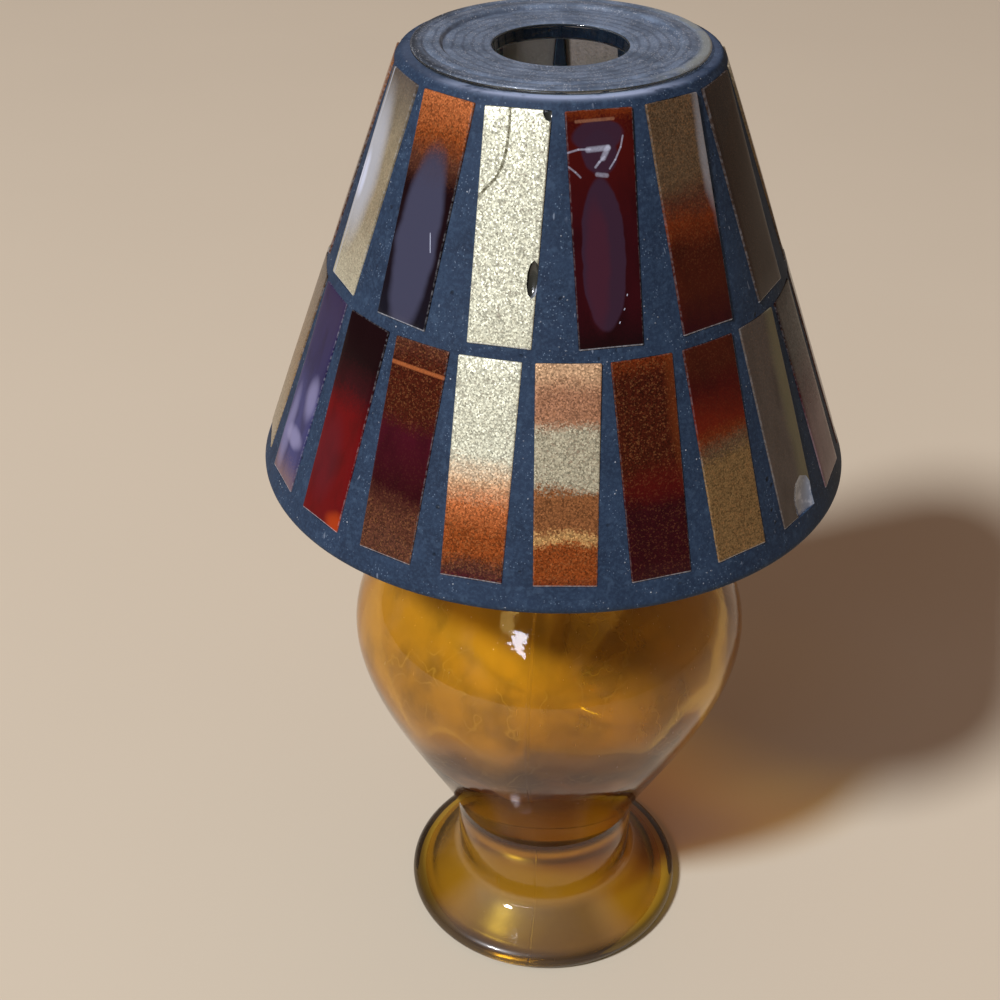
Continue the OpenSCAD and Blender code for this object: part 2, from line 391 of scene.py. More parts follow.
def maths_of(operation):
    """A method that adds the Math node for one operation on two values."""
    return lambda self, other: self.maths(operation, self, other)


class Wire:
    """A value on its way through a material. Arithmetic on it adds Math nodes."""

    def __init__(self, finish, socket):
        self.finish = finish
        self.socket = socket

    def also(self, output):
        """Another output of the same node."""
        return Wire(self.finish, self.socket.node.outputs[output])

    def maths(self, operation, *values):
        return self.finish.node("Math", {"operation": operation}, dict(enumerate(values)))

    def __rsub__(self, other):
        return self.maths("SUBTRACT", other, self)

    def __abs__(self):
        return self.maths("ABSOLUTE", self)

    __add__ = __radd__ = maths_of("ADD")
    __mul__ = __rmul__ = maths_of("MULTIPLY")
    __sub__ = maths_of("SUBTRACT")
    __truediv__ = maths_of("DIVIDE")
    __pow__ = maths_of("POWER")
    least = maths_of("MINIMUM")
    most = maths_of("MAXIMUM")

    def rise(self, low, high):
        """0 below low, 1 above high and smooth between. With low above high it falls instead."""
        return self.finish.node("MapRange", {"interpolation_type": "SMOOTHSTEP"},
                                {"Value": self, "From Min": low, "From Max": high})

    def within(self, start, full, fade, end):
        """1 between full and fade, and 0 below start and above end."""
        return self.rise(start, full) * self.rise(end, fade)


class Finish:
    """One material, or the air's light, built from nodes."""

    def __init__(self, name, kept_in=None):
        self.made = (bpy.data.materials if kept_in is None else kept_in).new(name)
        self.made.use_nodes = True
        self.tree = self.made.node_tree
        self.tree.nodes.clear()

    def node(self, kind, settings=None, inputs=None, output=0):
        """Adds a node: its settings come first, then the values or links of its sockets."""
        made = self.tree.nodes.new("ShaderNode" + kind)
        for key, value in (settings or {}).items():
            if key == "stops":
                self.set_stops(made.color_ramp.elements, value)
            else:
                setattr(made, key, value)
        for key, value in (inputs or {}).items():
            self.feed(made.inputs[key], value)
        return Wire(self, made.outputs[output]) if made.outputs else made

    def set_stops(self, elements, stops):
        elements.remove(elements[1])
        for position, colour in stops:
            element = elements.new(position)
            element.color = (*colour, 1)
        elements.remove(elements[0])

    def feed(self, socket, value):
        if isinstance(value, Wire):
            self.tree.links.new(value.socket, socket)
        elif socket.type == "RGBA":
            colour = linear(value) if isinstance(value, str) else value
            socket.default_value = (*tuple(colour)[:3], 1)
        else:
            socket.default_value = value

    def place(self, kind="Object"):
        return self.node("TexCoord", output=kind)

    def mark(self, name):
        """A value that the mesh carries at each of its points."""
        return self.node("Attribute", {"attribute_name": name}, output="Fac")

    def split(self, where):
        """The three values of a place."""
        x = self.node("SeparateXYZ", None, {"Vector": where})
        return x, x.also("Y"), x.also("Z")

    def channels(self, colour):
        """The red, green and blue shares of a colour."""
        red = self.node("SeparateColor", None, {"Color": colour})
        return red, red.also("Green"), red.also("Blue")

    def vector(self, operation, *vectors, **inputs):
        sockets = {**dict(enumerate(vectors)), **inputs}
        return self.node("VectorMath", {"operation": operation}, sockets)

    def ramp(self, where, stops):
        return self.node("ValToRGB", {"stops": stops}, {"Fac": where})

    def noise(self, where, scale, detail=2, roughness=0.5):
        return self.node("TexNoise", None, {"Vector": where, "Scale": scale, "Detail": detail,
                                            "Roughness": roughness})

    def cells(self, where, scale):
        return self.node("TexVoronoi", None, {"Vector": where, "Scale": scale})

    def stretch(self, where, factors, turn=(0, 0, 0)):
        return self.node("Mapping", None, {"Vector": where, "Scale": factors, "Rotation": turn})

    def blend(self, factor, first, second, kind="MIX"):
        return self.node("Mix", {"data_type": "RGBA", "blend_type": kind},
                         {0: factor, 6: first, 7: second}, output=2)

    def layers(self, colour, *coats):
        """Lays coats over a colour, each with its share and its own colour."""
        for share, coat in coats:
            colour = self.blend(share, colour, coat)
        return colour

    def bump(self, height, distance, strength):
        return self.node("Bump", None, {"Height": height, "Distance": distance, "Strength": strength})

    def surface(self, **inputs):
        sockets = {key.replace("_", " "): value for key, value in inputs.items()}
        return self.node("BsdfPrincipled", None, sockets)

    def mix(self, share, first, second):
        return self.node("MixShader", None, {0: share, 1: first, 2: second})

    def done(self, shader, output="OutputMaterial", **inputs):
        self.node(output, None, {"Surface": shader, **inputs})
        return self.made

    def let_lamps_through(self, shader, colour):
        """Glass that lets the lamps' and the air's light pass to what is behind it."""
        path = self.node("LightPath", output="Is Shadow Ray")
        clear = self.node("BsdfTransparent", None, {"Color": colour})
        return self.mix(path.most(path.also("Is Diffuse Ray")), shader, clear)


# Marks on the amber glass, each with its start, full, fade and end: the painted reflection on the foot and
# the painted dark band on the bulb by height in metres, and the foot reflection's reach round the front by
# angle in radians
PAINTED_REFLECTION = (0.0014, 0.003, 0.006, 0.0088)
DARK_REFLECTION_BAND = (0.038, 0.043, 0.047, 0.054)
FRONT = (-1.1, -0.5, 0.4, 0.9)
# Where the dirt and painted shade on the foot's edge start and are full, by height and by radius in metres
GRIME_AND_SHADE_Z = (0.0036, 0.0026)
GRIME_AND_SHADE_R = (0.0195, 0.0205)


def amber_glass(base):
    """Pressed amber glass: uneven and scratched, with a seam, haze and dust, a painted dark band on the
    bulb, a painted reflection on the foot's front, and dirt and painted shade darkening the foot's edge.
    """
    f = Finish("Amber glass")
    at = f.place()
    x, y, z = f.split(at)
    turn = x.maths("ARCTAN2", x, y * -1)
    under, hollow = f.mark("under"), f.mark("hollow")
    lined = hollow.rise(0, 0.05)
    seam = abs(turn + 0.09).rise(0.012, 0.004)
    wave = f.noise(f.stretch(at, (1, 1, 0.45)), 75, 1)
    ripple = f.noise(f.stretch(at, (1, 1, 0.6)), 420, 2)
    scratch = f.noise(f.stretch(at, (1, 1, 0.12), (0.5, 0.3, 0)), 2600, 1).rise(0.76, 0.8)
    marks = f.noise(at, 160, 4).rise(0.5, 0.7)
    cloud = f.noise(f.stretch(at, (1, 1, 0.7)), 130, 4)
    curls = abs(f.noise(f.stretch(at, (1, 1, 0.8)), 230, 2) - 0.5).rise(0.02, 0) * cloud.rise(0.45, 0.6)
    # Painted reflection: a dark mauve-grey film on the front of the foot
    painted_reflection = z.within(*PAINTED_REFLECTION) * turn.within(*FRONT) * (1 - under)
    # Painted dark reflection: a dark band round the lower bulb, set higher at the sides
    swirl = z + abs(turn).rise(0.4, 1.1) * 0.013 + (cloud - 0.5) * 0.008
    dark_reflection = swirl.within(*DARK_REFLECTION_BAND) * (1 - lined) * (1 - under)
    glass = f.surface(
        Base_Color=base.glass,
        Roughness=0.03 + marks * 0.09 + scratch * 0.3 + under * 0.27,
        IOR=1.51,
        Transmission_Weight=1.0,
        Normal=f.bump(wave * 0.6 + ripple * 0.04 + seam * 0.25 + scratch * 0.03, 0.0016, 0.3))
    haze = f.blend(cloud.rise(0.4, 0.7), base.haze, tuple(0.45 * c for c in base.haze))
    haze = f.blend(curls * 0.4, haze, "#f6dc8e")
    # The dust film's colour, turned dark mauve-grey where the painted reflection and the painted dark band
    # lie
    dust_and_painted_reflection = f.blend(painted_reflection.most(dark_reflection), "#a08a78", "#332e33")
    film = f.surface(Base_Color=f.blend(lined, dust_and_painted_reflection, haze), Roughness=0.6)
    # The haze share follows the hollow's mark, which is stronger on the left as painted light
    share = hollow * base.haze_level * (0.75 + cloud * 0.5) + 0.015 + marks * 0.04
    coated = f.let_lamps_through(f.mix(share + painted_reflection * 0.48 + dark_reflection * 0.35, glass, film), base.shadow)
    # Dirt and painted shade: the foot's edge next to the floor is darkened, which also dims the lamplight
    # passing there
    grime_and_shade = z.rise(*GRIME_AND_SHADE_Z) * (x * x + y * y).rise(*(r ** 2 for r in GRIME_AND_SHADE_R))
    edge = f.surface(Base_Color="#2e1f0e", Roughness=0.3)
    volume = f.node("VolumeAbsorption", None, {"Color": (0.745, 0.585, 0.0), "Density": 170.0})
    return f.done(f.mix(grime_and_shade * 0.75, coated, edge), Volume=volume)


def clear_glass(shade):
    """Clear glass of the cone."""
    f = Finish("Clear glass")
    at = f.place()
    wave = f.noise(at, 90, 1)
    glass = f.surface(
        Base_Color=shade.glass,
        Roughness=0.02 + f.noise(at, 400, 3).rise(0.5, 0.8) * 0.1,
        IOR=1.5,
        Transmission_Weight=1.0,
        Normal=f.bump(wave, 0.001, 0.2))
    return f.done(f.let_lamps_through(glass, "#e6ebe8"))


# Where the top plate's cleaner right side and the painted shade on its left rim start and are full, by
# radius and by x
CLEAN_R, CLEAN_X = (0.0165, 0.0175), (0.009, 0.016)
SHADE_RIM_R, SHADE_RIM_X = (0.0165, 0.0178), (0.007, 0.015)


def dusty_glass(shade):
    """Top of the plate: clear glass under settled dust, with specks, rubbed rings, a cleaner side and
    painted shade on the left rim.
    """
    f = Finish("Dusty glass")
    at = f.place()
    x, y, _ = f.split(at)
    radius = (x * x + y * y) ** 0.5
    cloud = f.noise(at, 260, 5, 0.65)
    rings = (radius * 5200).maths("SINE", radius * 5200 + f.noise(at, 300, 2) * 5).rise(0.1, 1.1)
    specks = f.cells(at, 3800).rise(0.36, 0.14) * f.noise(at, 900, 2).rise(0.4, 0.55)
    grain = f.noise(at, 3200, 3, 0.7)
    clean = radius.rise(*CLEAN_R) * x.rise(*CLEAN_X) * cloud.rise(0.25, 0.5)
    # Painted shade: a dark crescent along the left part of the plate's rim
    painted_shade_rim = radius.rise(*SHADE_RIM_R) * (x * -1).rise(*SHADE_RIM_X)
    film = f.layers(
        f.blend(cloud.rise(0.3, 0.7), shade.dust, "#56677d"),
        (rings * 0.45, "#38445a"),
        (grain.rise(0.4, 0.65) * 0.35, "#3a3f4c"),
        (clean * 0.7, "#a3aaa4"),
        (painted_shade_rim * 0.75, "#14161c"),
        (specks * 0.9, "#ccd2dc"))
    dust = f.surface(
        Base_Color=film,
        Roughness=0.35 + cloud * 0.4 - clean * 0.25,
        IOR=1.5,
        Transmission_Weight=0.3,
        Coat_Weight=0.25,
        Normal=f.bump(specks * 0.5 + cloud * 0.5 + rings * 0.3, 0.0001, 0.6))
    return f.done(f.let_lamps_through(dust, "#cfcfd2"))


def ground_edge():
    """Rough pale glass on the cone's cut bottom edge."""
    f = Finish("Ground edge")
    grain = f.noise(f.place(), 1800, 3)
    return f.done(f.surface(
        Base_Color=f.blend(grain, "#b9a88f", "#8f8270"),
        Roughness=0.5 + grain * 0.2,
        Normal=f.bump(grain, 0.00005, 0.5)))


def wiped_grout(shade):
    """Slate-blue grout: wiped smooth, with pits, pale grains, small scratches and a painted highlight along
    its top edge.
    """
    f = Finish("Wiped grout")
    at = f.place()
    x, y, z = f.split(at)
    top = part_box("grout")[1].z
    rim = cone(shade, 0)(top) - shade.rim_in
    radius = (x * x + y * y) ** 0.5
    cloud = f.noise(at, 170, 5, 0.6)
    grain = f.noise(at, 2400, 3, 0.7)
    pits = f.cells(at, 520).rise(0.2, 0.08) * f.noise(at, 330, 2).rise(0.54, 0.64)
    sand = f.cells(at, 1500).rise(0.2, 0.1) * f.noise(at, 620, 2).rise(0.58, 0.68)
    dots = f.cells(at, 2600).rise(0.26, 0.1) * f.noise(at, 480, 2).rise(0.46, 0.6)
    long_way = f.stretch(at, (1, 1, 0.1), (0.7, 0.2, 0.4))
    scratch = f.noise(long_way, 1500, 2).rise(0.7, 0.74) * f.noise(at, 120, 2).rise(0.5, 0.62)
    # Painted highlight along the grout's top edge, strongest at the front
    in_front = (y * -1).rise(0.6 * rim, 0.97 * rim)
    painted_highlight = z.rise(top - 0.0009, top - 0.0003) * radius.rise(rim + 0.0016, rim + 0.0006)
    painted_highlight = painted_highlight * cloud.rise(0.32, 0.5) * (0.12 + in_front * 0.88)
    colour = f.layers(
        f.blend(cloud.rise(0.25, 0.75), "#17253a", shade.grout),
        (grain.rise(0.4, 0.7) * 0.5, "#33475f"),
        (f.noise(at, 900, 3).rise(0.55, 0.7) * 0.35, "#3c5068"),
        (painted_highlight * 0.8, "#a3b2d0"),
        (scratch * 0.5, "#8c98ab"),
        (dots * 0.6, "#72859b"),
        (sand * 0.7, "#b9c1cc"),
        (pits * 0.8, "#141a26"))
    return f.done(f.surface(
        Base_Color=colour,
        Roughness=0.55 + grain * 0.25 + pits * 0.15,
        Specular_IOR_Level=0.2,
        Normal=f.bump(grain * 0.5 + cloud * 1.5 - pits * 2 + sand, 0.00012, 0.7)))


# Colours in the tiles' glass, and of the painted reflections, glints and red glow on some faces; haze here
# is a painted reflection too
HUES = {
    "champagne": "#c3c4b0", "gold": "#bd9660", "tan": "#bd9a78", "copper": "#7c3d19", "orange": "#a65f36",
    "rust": "#662a10", "ember": "#3f160b", "bronze": "#7d5030", "cocoa": "#4e2c20", "rose": "#9b7056",
    "silver": "#a5a08a", "khaki": "#857a63", "olive": "#735b3a", "moss": "#5b4936", "taupe": "#504842",
    "umber": "#32261f", "red": "#5a0509", "scarlet": "#5e1a0a", "maroon": "#2e080e", "wine": "#3d0b18",
    "night": "#160609", "plum": "#2a2040", "indigo": "#232049", "lavender": "#363763", "mauve": "#6b5458",
    "slate": "#3d3e52", "ink": "#12121c", "dusk": "#32202f", "brick": "#3e0c09", "glint": "#c6cde4",
    "lilac": "#a19dc2", "moth": "#7d7a55", "crack": "#57533f", "blood": "#5a0d0b", "haze": "#4c1a24",
    "flame": "#b8440c", "painted_pale_reflection": "#a9aeb9",
}
# What a tile's glass shows, from its lower end (0) to its upper end (1): place, colour, glitter
STRIPES = {
    "tile_lower_01": [(0, "rust", 0.9), (0.05, "copper", 1), (0.185, "copper", 1), (0.225, "gold", 1),
                      (0.265, "bronze", 1), (0.43, "bronze", 1), (0.47, "silver", 1), (0.69, "silver", 1),
                      (0.75, "rose", 1), (0.86, "rose", 1), (0.95, "tan", 1), (1, "tan", 1)],
    "tile_lower_02": [(0, "maroon", 0.4), (0.33, "maroon", 0.4), (0.42, "brick", 0.5), (0.52, "ember", 0.9),
                      (0.9, "ember", 1), (1, "rust", 1)],
    "tile_lower_03": [(0, "olive", 1), (0.46, "olive", 0.9), (0.5, "moss", 0.7), (0.58, "rust", 0.5),
                      (0.63, "scarlet", 0.1), (0.8, "brick", 0.1), (0.9, "ember", 0.2), (1, "ember", 0.2)],
    "tile_lower_04": [(0, "taupe", 0.1), (0.3, "taupe", 0.2), (1, "taupe", 0.3)],
    "tile_lower_05": [(0, "mauve", 0.1), (0.3, "mauve", 0.2), (0.5, "wine", 0.3), (0.7, "night", 0.3),
                      (1, "night", 0.3)],
    "tile_lower_06": [(0, "ember", 0.5), (0.5, "cocoa", 0.6), (1, "umber", 0.5)],
    "tile_lower_17": [(0, "khaki", 0.8), (0.5, "olive", 0.8), (1, "umber", 0.5)],
    "tile_lower_18": [(0, "mauve", 0), (0.15, "lavender", 0), (0.45, "lavender", 0), (0.62, "indigo", 0),
                      (1, "plum", 0)],
    "tile_lower_19": [(0, "red", 0), (0.55, "red", 0), (0.68, "maroon", 0), (0.8, "night", 0),
                      (1, "night", 0)],
    "tile_lower_20": [(0, "cocoa", 1), (0.2, "cocoa", 0.9), (0.32, "maroon", 0.1), (0.58, "wine", 0.05),
                      (0.68, "ember", 0.7), (0.9, "ember", 0.9), (1, "cocoa", 1)],
    "tile_lower_21": [(0, "wine", 0.6), (0.06, "cocoa", 1), (0.12, "copper", 1), (0.22, "copper", 1),
                      (0.34, "orange", 1), (0.44, "tan", 1), (0.57, "champagne", 1), (1, "champagne", 1)],
    "tile_upper_01": [(0, "night", 0), (0.2, "maroon", 0), (0.5, "maroon", 0), (0.85, "brick", 0),
                      (0.94, "brick", 0.1), (1, "rust", 0.2)],
    "tile_upper_02": [(0, "maroon", 0), (0.18, "ember", 0.1), (0.36, "ember", 0.3), (0.48, "rust", 0.5),
                      (0.57, "cocoa", 0.6), (0.66, "moss", 0.7), (1, "moss", 0.9)],
    "tile_upper_03": [(0, "umber", 0.1), (0.6, "umber", 0.1), (1, "umber", 0.2)],
    "tile_upper_04": [(0, "umber", 0.5), (0.5, "olive", 0.6), (1, "khaki", 0.7)],
    "tile_upper_11": [(0, "cocoa", 0.6), (0.5, "umber", 0.4), (1, "bronze", 0.7)],
    "tile_upper_12": [(0, "silver", 0.5), (0.4, "khaki", 0.4), (0.7, "khaki", 0.3), (1, "taupe", 0.2)],
    "tile_upper_13": [(0, "ink", 0), (0.6, "night", 0), (0.72, "cocoa", 0.5), (0.82, "copper", 1),
                      (1, "orange", 1)],
    "tile_upper_14": [(0, "champagne", 1), (1, "champagne", 1)],
}
# Stripes for the other tiles, by the colour family of their glass
FAMILIES = {
    "gold_glass": [[(0, "champagne", 1), (0.6, "champagne", 1), (0.75, "gold", 1), (1, "copper", 1)],
                   [(0, "silver", 1), (0.35, "champagne", 1), (1, "champagne", 1)]],
    "copper_glass": [[(0, "ember", 0.6), (0.3, "rust", 0.9), (0.7, "copper", 1), (1, "tan", 1)],
                     [(0, "copper", 1), (0.35, "orange", 1), (0.5, "bronze", 1), (1, "rose", 1)]],
    "maroon_glass": [[(0, "red", 0), (0.45, "maroon", 0), (1, "night", 0)],
                     [(0, "maroon", 0), (0.6, "wine", 0), (0.8, "rust", 0.6), (1, "rust", 0.9)]],
    "taupe_glass": [[(0, "taupe", 0.4), (0.5, "khaki", 0.5), (1, "taupe", 0.4)],
                    [(0, "umber", 0.3), (0.6, "taupe", 0.4), (1, "khaki", 0.6)]],
    "plum_glass": [[(0, "ink", 0), (0.55, "plum", 0.1), (0.8, "cocoa", 0.6), (1, "copper", 1)],
                   [(0, "mauve", 0.2), (0.5, "plum", 0), (1, "indigo", 0)]],
}
# Soft ovals on a tile's face, most of them painted reflections, highlights and a painted red glow: middle,
# half sizes, colour, share, softness of the edge
OVALS = {
    "tile_upper_01": [((0.46, 0.4), (0.33, 0.32), "dusk", 0.95, 0.09),
                      ((0.36, 0.36), (0.17, 0.26), "haze", 0.35, 0.6),
                      ((0.45, 0.89), (0.37, 0.06), "dusk", 0.9, 0.2),
                      ((0.47, 0.82), (0.27, 0.09), "dusk", 0.9, 0.2)],
    "tile_upper_02": [((1.02, 0.78), (0.16, 0.3), "painted_pale_reflection", 0.55, 0.95)],
    "tile_upper_13": [((0.5, 0.36), (0.4, 0.41), "slate", 0.88, 0.3)],
    "tile_upper_12": [((0.2, 0.55), (0.4, 0.32), "painted_pale_reflection", 0.8, 0.9),
                      ((0.12, 0.5), (0.12, 0.1), "glint", 0.8, 0.9)],
    "tile_lower_18": [((0.75, 0.47), (0.2, 0.1), "lilac", 0.36, 0.95),
                      ((0.55, 0.24), (0.3, 0.05), "lilac", 0.42, 0.95),
                      ((0.2, 0.25), (0.16, 0.2), "lilac", 0.3, 0.95)],
    "tile_lower_19": [((0.3, 0.3), (0.32, 0.2), "haze", 0.4, 0.9),
                      ((0.98, 0.03), (0.3, 0.06), "flame", 0.5, 0.95)],
    "tile_lower_02": [((0.75, 0.44), (0.7, 0.08), "blood", 0.35, 0.95),
                      ((1.08, 0.8), (0.22, 0.35), "copper", 0.5, 0.95)],
    "tile_lower_04": [((1, 0.55), (0.3, 0.6), "moth", 0.45, 0.95)],
}
# Thin marks on a tile's face, painted glints and highlights among them, with a crack and a band of colour:
# their points, width in millimetres, colour, share
LINES = {
    "tile_upper_01": [([(0, 0.832), (0.16, 0.842), (0.34, 0.84)], 0.28, "glint", 0.38),
                      ([(0.3, 0.838), (0.6, 0.841), (0.52, 0.8)], 0.75, "glint", 0.42),
                      ([(0.54, 0.805), (0.46, 0.785), (0.4, 0.765)], 0.34, "glint", 0.4),
                      ([(0.83, 0.886), (0.79, 0.84), (0.7, 0.79), (0.61, 0.755)], 0.24, "glint", 0.4),
                      ([(0, 0.775), (0.1, 0.75), (0.17, 0.728)], 0.26, "glint", 0.28),
                      ([(0.42, 0.735), (0.56, 0.728)], 0.6, "glint", 0.3),
                      ([(0.15, 0.955), (0.7, 0.958)], 0.45, "rose", 0.5),
                      ([(0.78, 0.225), (0.775, 0.22)], 0.16, "glint", 0.8),
                      ([(0.73, 0.165), (0.72, 0.16)], 0.16, "glint", 0.7),
                      ([(0.65, 0.11), (0.64, 0.105)], 0.16, "glint", 0.8)],
    "tile_lower_20": [([(0, 0.885), (1, 0.88)], 0.6, "orange", 1)],
    "tile_upper_12": [([(0.08, 0), (0.08, 1)], 0.35, "painted_pale_reflection", 0.8)],
    "tile_upper_13": [([(0.72, 0.42), (0.8, 0.34)], 0.12, "glint", 0.9)],
    "tile_upper_14": [([(0.39, 1), (0.4, 0.9), (0.38, 0.82), (0.33, 0.755), (0.24, 0.7), (0.1, 0.655),
                        (0, 0.62)], 0.45, "crack", 1)],
}
# Chips out of a tile's edge: colour of the bare glass, and for each chip its place on the face and its
# sizes across, along and into the face in millimetres
CHIPS = {
    "tile_upper_14": ("#2b2c28", [((1.0, 1.0), (1.0, 1.3, 0.6)), ((0.94, 0.3), (0.75, 2.2, 0.6))]),
    "tile_lower_04": ("#6f7888", [((0.72, 0.06), (2.5, 3.4, 0.45))]),
}
# Tiles whose faces have gone dull, so that little is mirrored in them
DULL = ("tile_lower_05", "tile_lower_18", "tile_lower_19")
# How far aside the back of a tile lies on its map of the glass
ASIDE = 2
# Flakes of glitter and brighter sparks, in cells per metre
FLAKES = 5400
SPARKS = 6000
# Where a tile's pale ground edge, partly painted highlight, ends on its face and where it is full, at its
# sides and at its foot
SIDE_EDGE = (0.00018, 0.00006)
FOOT_EDGE = (0.00024, 0.00012)


def stripes_of(node, turn):
    """The stripes of one tile: its own, or one of its colour family's."""
    family = FAMILIES[SLOTS[node]]
    return STRIPES.get(node, family[turn % len(family)])


def oval(u, v, middle, half, soft):
    """1 inside an oval on a tile's face, and 0 outside it."""
    across, along = (u - middle[0]) / half[0], (v - middle[1]) / half[1]
    return (across * across + along * along).rise(1 + soft, 1 - soft)


def stroke(x, y, start, end, width):
    """1 on a straight mark between two points of a tile's face, and 0 away from it."""
    run, climb = end[0] - start[0], end[1] - start[1]
    x, y = x - start[0], y - start[1]
    share = ((x * run + y * climb) / (run * run + climb * climb)).most(0).least(1)
    across, along = x - share * run, y - share * climb
    return (across * across + along * along).rise(0.3 * width * width, 0)


def face_marks(node, u, v, stray, random, width, length):
    """The ovals and thin marks on one tile's face, painted reflections and glints among them, each as a
    share and a colour.
    """
    for middle, half, hue, share, soft in OVALS.get(node, ()):
        yield oval(u + stray * 0.16, v + stray * 0.06, middle, half, soft) * share, HUES[hue]
    for points, thick, hue, share in LINES.get(node, ()):
        points = [(across * width, along * length) for across, along in points]
        for start, end in zip(points, points[1:]):
            mark = stroke(u * width, v * length, start, end, thick * MM)
            yield mark * share * (0.7 + random * 0.3), HUES[hue]


def tile_glass(node, stripes, width, length):
    """Glossy glass over bands of colour and metal glitter, which follow the tile's own length, with painted
    reflections and glints on some faces, pale edges that are partly painted highlight, and backs lightened
    as painted light.
    """
    f = Finish("Glass of " + node)
    at = f.place()
    u, v, _ = f.split(f.place("UV"))
    behind = u.rise(0.7 * ASIDE, 0.8 * ASIDE)
    flake = f.cells(at, FLAKES)
    random, shine, _ = f.channels(flake.also("Color"))
    drift = (f.noise(f.stretch(at, (1, 1, 1.6)), 210, 3) - 0.5) * 0.09
    along = v + drift + (random - 0.5) * 0.04
    colour = f.ramp(along, [(place, linear(HUES[hue])) for place, hue, _ in stripes])
    glitter, *_ = f.channels(f.ramp(along, [(place, (share,) * 3) for place, _, share in stripes]))
    colour = f.blend(glitter, colour, 0.8 - flake * 0.5 + shine * 1.1, "MULTIPLY")
    spark, *_ = f.channels(f.cells(at, SPARKS).also("Color"))
    colour = f.blend(spark.rise(0.7, 1) * glitter * 0.2, colour, "#c88a55", "LIGHTEN")
    streak = f.noise(f.stretch(at, (1, 1, 0.25)), 420, 3).rise(0.4, 0.75)
    stray = f.noise(at, 240, 2) - 0.5
    broken = f.noise(at, 2400, 3).rise(0.35, 0.75)
    # Pale ground edges, made brighter on the right side and at the foot as painted highlight
    right = ((1 - u) * width).rise(*SIDE_EDGE)
    others = (u * width).least((1 - v) * length).rise(*SIDE_EDGE)
    foot = (v * length).rise(*FOOT_EDGE)
    edge = (right.most(others * 0.5) * broken * 0.25).most(foot * (0.3 + broken * 0.4)) * (1 - behind)
    colour = f.layers(
        colour,
        ((1 - glitter) * streak * 0.35, "#120406"),
        *face_marks(node, u, v, stray, random, width, length),
        (edge, "#b9bdc6"))
    tilt = f.vector("SUBTRACT", flake.also("Color"), (0.5, 0.5, 0.5))
    tilt = f.vector("SCALE", tilt, Scale=glitter * 0.22)
    facing = f.vector("ADD", f.node("NewGeometry", output="Normal"), tilt)
    return f.done(f.surface(
        # The tiles' backs are a pale backing, lightened further as painted light for what shines through the
        # glass
        Base_Color=f.blend(behind, colour, "#cdbcbc", "SCREEN"),
        Metallic=glitter * (1 - behind) * 0.4,
        Roughness=0.12 + glitter * 0.28 + edge * 0.3,
        Specular_IOR_Level=0.05,
        Coat_Weight=0.08 if node in DULL else 0.32,
        Coat_Roughness=0.03,
        Coat_IOR=1.32,
        Normal=f.vector("NORMALIZE", facing)))


def broken_glass(node, bare):
    """The bare glass inside a chip."""
    f = Finish("Broken glass of " + node)
    cloud = f.noise(f.place(), 700, 3)
    return f.done(f.surface(
        Base_Color=f.blend(cloud.rise(0.5, 0.7), bare, "#a2a9b6"),
        Roughness=0.25,
        Coat_Weight=0.5))


def pressed_metal(candle, name):
    """Thin bright metal with fine drawing lines."""
    f = Finish(name)
    at = f.place()
    lines = f.noise(f.stretch(at, (1, 1, 0.06)), 2600, 2)
    dull = f.noise(at, 220, 3).rise(0.4, 0.7)
    return f.done(f.surface(
        Base_Color=f.blend(dull * 0.4, candle.metal, "#a3a4a8"),
        Metallic=1.0,
        Roughness=0.22 + lines * 0.15 + dull * 0.1,
        Normal=f.bump(lines, 0.00003, 0.4)))


def candle_wax(candle):
    """Off-white wax, a little mottled."""
    f = Finish("Candle wax")
    at = f.place()
    cloud = f.noise(at, 300, 4)
    return f.done(f.surface(
        Base_Color=f.blend(cloud.rise(0.3, 0.7), candle.wax, "#e2dac6"),
        Roughness=0.38 + cloud * 0.2,
        Subsurface_Weight=0.3,
        Subsurface_Scale=0.002,
        Normal=f.bump(cloud, 0.0002, 0.4)))


def wick_cotton(candle):
    """Waxed twisted cotton."""
    f = Finish("Wick cotton")
    at = f.place()
    fibre = f.noise(f.stretch(at, (1, 1, 0.2), (0.5, 0, 0)), 4200, 3)
    return f.done(f.surface(
        Base_Color=f.blend(fibre.rise(0.3, 0.7), candle.cotton, "#a99d80"),
        Roughness=0.75,
        Normal=f.bump(fibre, 0.0001, 0.6)))


def plain_floor(stage):
    """Plain pale floor with the faintest mottling."""
    f = Finish("Plain floor")
    cloud = f.noise(f.place(), 9, 3)
    darker = tuple(c * 0.95 for c in stage.floor)
    return f.done(f.surface(
        Base_Color=f.blend(cloud, stage.floor, darker),
        Roughness=0.6,
        Specular_IOR_Level=0.25))


def even_air(stage):
    """Soft light all round, cool in front and warm behind, with the plain backdrop seen in its place."""
    f = Finish("Even air", bpy.data.worlds)
    x, y, z = f.split(f.place("Generated"))
    colour = f.blend((x * 0.6 + y * 0.8).rise(-0.4, 0.6), stage.air, stage.warm_air)
    bright = (0.12 + z.rise(0.05, 0.75) * 1.5) * stage.air_level
    air = f.node("Background", None, {"Color": colour, "Strength": bright})
    fall = 0.1 + z.rise(0.6, 0) * 0.26
    backdrop = f.node("Background", None, {"Color": stage.backdrop, "Strength": fall})
    path = f.node("LightPath", output="Is Camera Ray")
    seen = path.most(path.also("Is Glossy Ray")).most(path.also("Is Transmission Ray"))
    return f.done(f.mix(seen, air, backdrop), "OutputWorld")


# Pieces

